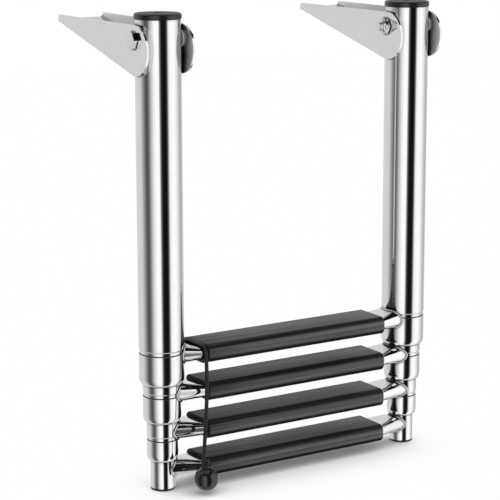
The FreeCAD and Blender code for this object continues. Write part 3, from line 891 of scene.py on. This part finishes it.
def makeTread(number, form):
    node = "tread_%d" % number
    low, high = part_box(node)
    _, middleY, middleZ = middleOf(node)
    halfWidth, halfHeight = (high.y - low.y) / 2, (high.z - low.z) / 2
    outer = treadOutline(halfWidth, halfHeight, form)
    inner = treadInner(outer, halfWidth, halfHeight, form)
    along = np.gradient(outer, axis=0)
    outward = np.column_stack((-along[:, 1], along[:, 0])) / np.linalg.norm(along, axis=1)[:, None]
    edge = form["endRounding"]
    rounding = []
    for step in range(form["endSteps"] + 1):
        angle = math.pi / 2 * step / form["endSteps"]
        rounding.append((low.x + edge * (1 - math.cos(angle)), edge * (1 - math.sin(angle))))
    stations = rounding + [(low.x + (high.x - low.x) * share, 0.0) for share in form["stations"]]
    stations += [(low.x + high.x - x, inset) for x, inset in reversed(rounding)]
    rings = []
    for x, inset in stations:
        shell = outer - outward * inset
        loop = np.vstack((shell, inner[::-1]))
        rings.append(np.column_stack((np.full(len(loop), x), loop[:, 0] + middleY, loop[:, 1] + middleZ)))
    count = len(outer)
    size = 2 * count
    faces = []
    for row in range(len(rings) - 1):
        for step in range(size):
            onward = (step + 1) % size
            faces.append((row * size + step, (row + 1) * size + step,
                          (row + 1) * size + onward, row * size + onward))
    for base, turned in ((0, False), ((len(rings) - 1) * size, True)):
        for step in range(count - 1):
            face = (base + step, base + step + 1, base + size - 2 - step, base + size - 1 - step)
            faces.append(face[::-1] if turned else face)
    mesh = newMesh("treadSleeve%d" % number, np.vstack(rings).tolist(), [], faces)
    build = bmesh.new()
    build.from_mesh(mesh)
    bmesh.ops.recalc_face_normals(build, faces=build.faces)
    build.to_mesh(mesh)
    build.free()
    mesh.shade_smooth()
    mesh.set_sharp_from_angle(angle=math.radians(form["sharpDegrees"]))
    addPiece(mesh.name, mesh, "tread", sectionBodies[number], node)


for number in sectionBodies:
    makeTread(number, treadForm)
print("treads made")


# Brackets: bent from sheet, with broken edges
bracketForm = {
    "edge": 0.00035,
    "deckAngle": 14.7,
    "outerBend": 0.0024,
    "innerBend": 0.0012,
    "bendSegments": 6,
    "leastBend": 0.005,      # shorter edges aren't bends
    "facing": 0.99,
}
edgeForm = {
    "mergeWithin": 0.000002,
    "flatDegrees": 0.4,
    "brokenDegrees": 35,     # edges sharper than this are broken
}


# A node's mesh with its doubles merged and its flat faces whole
def cleanCopy(node):
    build = bmesh.new()
    build.from_mesh(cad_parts[node].data)
    bmesh.ops.remove_doubles(build, verts=build.verts, dist=edgeForm["mergeWithin"])
    bmesh.ops.dissolve_limit(build, angle_limit=math.radians(edgeForm["flatDegrees"]),
                             verts=build.verts, edges=build.edges)
    return build


def edgesBroken(name, build, width, segments=3):
    mesh = bpy.data.meshes.new(name)
    build.to_mesh(mesh)
    build.free()
    mesh.shade_smooth()
    bevel = {"width": width, "segments": segments, "limit_method": "ANGLE",
             "angle_limit": math.radians(edgeForm["brokenDegrees"])}
    return bakedMesh(name, mesh, ("BEVEL", bevel), ("WEIGHTED_NORMAL", {"weight": 100}))


# Bends are the edges where an ear meets the base plate
def makeBracket(side):
    build = cleanCopy("bracket_" + side)
    tilt = math.radians(bracketForm["deckAngle"])
    deckNormal = Vector((0, -math.sin(tilt), math.cos(tilt)))
    for convex, reach in ((True, bracketForm["outerBend"]), (False, bracketForm["innerBend"])):
        bends = []
        for edge in build.edges:
            if len(edge.link_faces) != 2 or edge.is_convex != convex:
                continue
            normals = [face.normal for face in edge.link_faces]
            ear, plate = sorted(normals, key=lambda normal: -abs(normal.x))
            meeting = min(abs(ear.x), abs(plate.dot(deckNormal))) > bracketForm["facing"]
            if meeting and edge.calc_length() > bracketForm["leastBend"]:
                bends.append(edge)
        bmesh.ops.bevel(build, geom=bends, offset=reach, offset_type="OFFSET", profile=0.5,
                        segments=bracketForm["bendSegments"], affect="EDGES", clamp_overlap=True)
    mesh = edgesBroken("bracketSheet_" + side, build, bracketForm["edge"])
    addPiece(mesh.name, mesh, "bracket", "brackets", "bracket_" + side)


for side in sides:
    makeBracket(side)
print("brackets bent")


# Pivot bolts: their heads are pressed, their nuts have a crown and turn a point to the front
boltEdge = 0.0004
nutForm = {
    "points": 144,
    "sharpDegrees": 22,
    # share of the nut's height from the plate, and how far out it reaches as a share of its half width
    "profile": [(0.0, 0.0), (0.0, 0.96), (0.08, 1.16), (0.52, 1.16), (0.66, 0.97), (0.68, 0.90),
                (0.86, 0.88), (0.95, 0.80), (1.0, 0.70), (1.0, 0.58), (0.9, 0.54), (0.9, 0.0)],
}


def makeNut(side, form):
    node = "pivot_nut_" + side
    low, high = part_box(node)
    halfWidth = (high.y - low.y) / 2
    _, middleY, middleZ = middleOf("pivot_bolt_" + side)
    plate, tip = (low.x, high.x) if side == "left" else (high.x, low.x)
    angles = np.linspace(0, 2 * math.pi, form["points"], endpoint=False)
    flats = 1 / np.cos(np.mod(angles, math.pi / 3) - math.pi / 6)
    rings = []
    for share, reach in form["profile"]:
        x = plate + (tip - plate) * share
        if reach == 0:
            rings.append([(x, middleY, middleZ)])
            continue
        out = halfWidth * np.minimum(flats, reach)
        rings.append(np.column_stack((np.full(len(out), x), middleY + out * np.cos(angles),
                                      middleZ + out * np.sin(angles))))
    mesh = skinMesh("pivotNut_" + side, rings, creaseDegrees=form["sharpDegrees"])
    addPiece(mesh.name, mesh, "fastener", "brackets", node)


# Thread on the bolts' ends
thread = {
    "Radius": 0.0039,
    "Turns": 2.1,
    "Pitch": 0.00125,
    "Ridge": 0.0004,
    "Material": finishes["fastener"],
}
threadMesh = {
    "pointsPerTurn": 40,
    "sides": 6,
}


def makeThreadGroup():
    inputs = (("Radius", "Float"), ("Turns", "Float"), ("Pitch", "Float"), ("Ridge", "Float"),
              ("Material", "Material"))
    group, keys = newGroup("boltThread", inputs)
    start = group.nodes.new("NodeGroupInput").outputs
    length = maths(group, "MULTIPLY", start["Turns"], start["Pitch"])
    spiral = geometryNode(group, "GeometryNodeCurveSpiral",
                          {"Rotations": start["Turns"], "Start Radius": start["Radius"],
                           "End Radius": start["Radius"], "Height": length},
                          Resolution=threadMesh["pointsPerTurn"])
    turned = geometryNode(group, "GeometryNodeTransform", {"Geometry": spiral.outputs[0]},
                          Rotation=(0, math.pi / 2, 0))
    section = geometryNode(group, "GeometryNodeCurvePrimitiveCircle", {"Radius": start["Ridge"]},
                           Resolution=threadMesh["sides"])
    ridge = geometryNode(group, "GeometryNodeCurveToMesh",
                         {"Curve": turned.outputs[0], "Profile Curve": section.outputs["Curve"]})
    ridge.inputs["Fill Caps"].default_value = True
    placed = geometryNode(group, "GeometryNodeInstanceOnPoints",
                          {"Points": start["Geometry"], "Instance": ridge.outputs[0]})
    finishGroup(group, placed.outputs[0], start["Material"])
    return group, keys


def makeThreads(setup):
    group, keys = makeThreadGroup()
    length = setup["Turns"] * setup["Pitch"] + setup["Ridge"]
    starts = []
    for side in sides:
        low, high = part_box("pivot_bolt_" + side)
        x = high.x - length if side == "left" else low.x + setup["Ridge"]
        starts.append((x, *middleOf("pivot_bolt_" + side)[1:]))
    mesh = newMesh("threadStarts", starts)
    made = bakedMesh("boltThreads", mesh, ("NODES", groupValues(group, keys, setup)))
    addPiece(made.name, made, "fastener", "brackets")


for side in sides:
    head = edgesBroken("pivotBolt_" + side, cleanCopy("pivot_bolt_" + side), boltEdge, 2)
    addPiece(head.name, head, "fastener", "brackets", "pivot_bolt_" + side)
    makeNut(side, nutForm)
makeThreads(thread)
print("fasteners made")


# The ball's eye, where the cord is tied on
ballEye = {
    "radius": 0.0023,
    "thickness": 0.0009,
    "rise": 0.0038,
    "turn": 0.5,             # radians from across the ladder towards the front
    "around": 40,
    "sides": 16,
    # radius and height over the ball's top
    "neck": [(0.0, -0.0012), (0.0034, -0.0010), (0.0030, 0.0003), (0.0021, 0.0012),
             (0.0015, 0.0018), (0.0, 0.0020)],
    "neckSides": 48,
}


def makeEye(setup):
    ballX, ballY, _ = middleOf("strap_ball")
    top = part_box("strap_ball")[1].z
    centre = np.array((ballX, ballY, top + setup["rise"]))
    along = np.array((math.cos(setup["turn"]), -math.sin(setup["turn"]), 0.0))
    across = np.array((math.sin(setup["turn"]), math.cos(setup["turn"]), 0.0))
    turns = np.linspace(0, 2 * math.pi, setup["sides"], endpoint=False)
    rings = []
    for step in range(setup["around"]):
        angle = 2 * math.pi * step / setup["around"]
        outward = along * math.cos(angle) + np.array((0, 0, 1)) * math.sin(angle)
        middle = centre + outward * setup["radius"]
        rings.append([middle + (outward * math.cos(turn) + across * math.sin(turn)) * setup["thickness"]
                      for turn in turns])
    ring = skinMesh("ballEye", rings, closedAlong=True)
    outline = [(radius, top + up) for radius, up in setup["neck"]]
    neck = turnedMesh("ballNeck", outline, centre, setup["neckSides"], closedAlong=False)
    return [addPiece(mesh.name, mesh, "ball", "upper_section") for mesh in (ring, neck)]


eye = makeEye(ballEye)
print("cord laid")


# What stays as its solid takes the finish of its kind
nodeFinishes = {
    "pivot_washer": "nylon",
    "guide": "nylon",
    "strap_ring": "strap",
    "strap_ball": "ball",
}
for node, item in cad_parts.items():
    for start, finish in nodeFinishes.items():
        if node.startswith(start):
            item.data.materials.clear()
            item.data.materials.append(finishes[finish])


# Studio: a white floor and room, with a black ceiling and two dark cards that the steel mirrors
studio = {
    "floorLevel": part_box("foot_plug_left")[0].z,
    "floorSize": 6.0,
    "shadeReach": 0.09,
    "shadeSamples": 16,
    "shadeCurve": [(0.0, 0.10), (0.25, 0.24), (0.5, 0.60), (0.7, 0.97), (1.0, 1.0)],
    "plainLight": 0.85,
    "mirrorGain": 1.25,                    # brings the steel's own tint back to white
    # what the steel sees round the room: degrees from -Y towards +X, and brightness
    "walls": [(-180, 0.63), (-134, 0.63), (-124, 0.50), (-110, 0.26), (-97, 0.095), (-90, 0.08),
              (-82, 0.12), (-75, 0.27), (-66, 0.55), (-52, 0.87), (-42, 1.0), (-29, 0.96),
              (-21, 0.16), (-14, 0.010), (0, 0.005), (9, 0.010), (15, 0.10), (21, 0.60), (27, 0.92),
              (50, 1.0), (70, 0.80), (84, 0.55), (102, 0.43), (120, 0.50), (150, 0.63), (180, 0.63)],
    "wallTop": (41.0, 2),                  # degrees up where the front's black ceiling starts, and its blur
    "ceilingTop": (63.0, 3),               # above this a soft light from straight overhead
    "floorStart": (-58.0, 4),
    "backStart": (80, 108),                # degrees from -Y over which the ceiling turns pale
    "ceilingDark": 0.006,
    "ceilingBack": 0.50,
    "overheadLight": 0.50,
    "floorGray": 0.52,
}


def background(tree, color, strength):
    node = tree.nodes.new("ShaderNodeBackground")
    node.inputs["Strength"].default_value = strength
    feed(tree, node.inputs["Color"], color)
    return node.outputs[0]


def shaderMix(tree, factor, first, second):
    node = tree.nodes.new("ShaderNodeMixShader")
    for socket, value in zip(node.inputs, (factor, first, second)):
        tree.links.new(value, socket)
    return node.outputs[0]


def makeWorld(setup):
    world = bpy.data.worlds.new("studioRoom")
    scene.world = world
    world.use_nodes = True
    world.cycles.sampling_method = "NONE"
    tree = world.node_tree
    tree.nodes.clear()
    east, north, up = separated(tree, tree.nodes.new("ShaderNodeTexCoord").outputs["Generated"])
    azimuth = maths(tree, "ARCTAN2", east, maths(tree, "MULTIPLY", north, -1.0))
    walls = [(math.radians(angle), level) for angle, level in setup["walls"]]
    walls = ramped(tree, azimuth, walls, -math.pi, math.pi, "EASE")
    height = maths(tree, "MULTIPLY", maths(tree, "ARCSINE", up), 180 / math.pi)
    backness = ranged(tree, maths(tree, "ABSOLUTE", azimuth), 0.0, 1.0,
                      *[math.radians(angle) for angle in setup["backStart"]])
    gray = {key: (setup[key],) * 3 for key in ("ceilingDark", "ceilingBack", "overheadLight", "floorGray")}
    above = {}
    for key in ("wallTop", "ceilingTop", "floorStart"):
        level, blur = setup[key]
        low, high = (1.0, 0.0) if key == "floorStart" else (0.0, 1.0)
        above[key] = ranged(tree, height, low, high, level - blur, level + blur)
    ceiling = blended(tree, backness, gray["ceilingDark"], gray["ceilingBack"])
    ceiling = blended(tree, above["ceilingTop"], ceiling, gray["overheadLight"])
    room = blended(tree, above["wallTop"], walls, ceiling)
    room = blended(tree, above["floorStart"], room, gray["floorGray"])
    white = (1, 1, 1, 1)
    rays = tree.nodes.new("ShaderNodeLightPath").outputs
    mirrored = background(tree, room, setup["mirrorGain"])
    plain = background(tree, white, setup["plainLight"])
    lit = shaderMix(tree, rays["Is Glossy Ray"], plain, mirrored)
    clear = maths(tree, "MAXIMUM", rays["Is Camera Ray"], rays["Is Transmission Ray"])
    seen = shaderMix(tree, clear, lit, background(tree, white, 1.0))
    output = tree.nodes.new("ShaderNodeOutputWorld")
    tree.links.new(seen, output.inputs["Surface"])


# A pale floor that shows the white room through it and keeps the shade close under the object
def makeFloor(setup):
    half, level = setup["floorSize"] / 2, setup["floorLevel"]
    corners = [(x * half, y * half, level) for x, y in ((-1, -1), (1, -1), (1, 1), (-1, 1))]
    mesh = newMesh("studioFloor", corners, [], [(0, 1, 2, 3)])
    floor = newObject("studioFloor", mesh)
    material = bpy.data.materials.new("paleFloor")
    material.use_nodes = True
    tree = material.node_tree
    tree.nodes.clear()
    nearness = tree.nodes.new("ShaderNodeAmbientOcclusion")
    nearness.samples = setup["shadeSamples"]
    nearness.inputs["Distance"].default_value = setup["shadeReach"]
    shade = ramped(tree, nearness.outputs["AO"], setup["shadeCurve"], interpolation="B_SPLINE")
    clear = tree.nodes.new("ShaderNodeBsdfTransparent")
    tree.links.new(shade, clear.inputs["Color"])
    output = tree.nodes.new("ShaderNodeOutputMaterial")
    tree.links.new(clear.outputs[0], output.inputs["Surface"])
    mesh.materials.append(material)
    floor.visible_glossy = False


overheadSoftbox = {
    "place": (0.125, -0.3, 1.6),
    "aim": (0.125, -0.08, -0.2),
    "size": (1.2, 1.2),
    "watts": 9.0,
}


def makeLamp(name, setup):
    data = bpy.data.lights.new(name, "AREA")
    data.shape = "RECTANGLE"
    data.size, data.size_y = setup["size"]
    data.energy = setup["watts"]
    lamp = newObject(name, data)
    lamp.location = setup["place"]
    aim = Vector(setup["aim"]) - Vector(setup["place"])
    lamp.rotation_euler = aim.to_track_quat("-Z", "Y").to_euler()
    lamp.visible_glossy = False


makeWorld(studio)
makeFloor(studio)
makeLamp("overheadSoftbox", overheadSoftbox)
print("studio lit")

scene.view_settings.view_transform = "Standard"
scene.cycles.glossy_bounces = 12     # the steel parts mirror each other
scene.cycles.max_bounces = 16
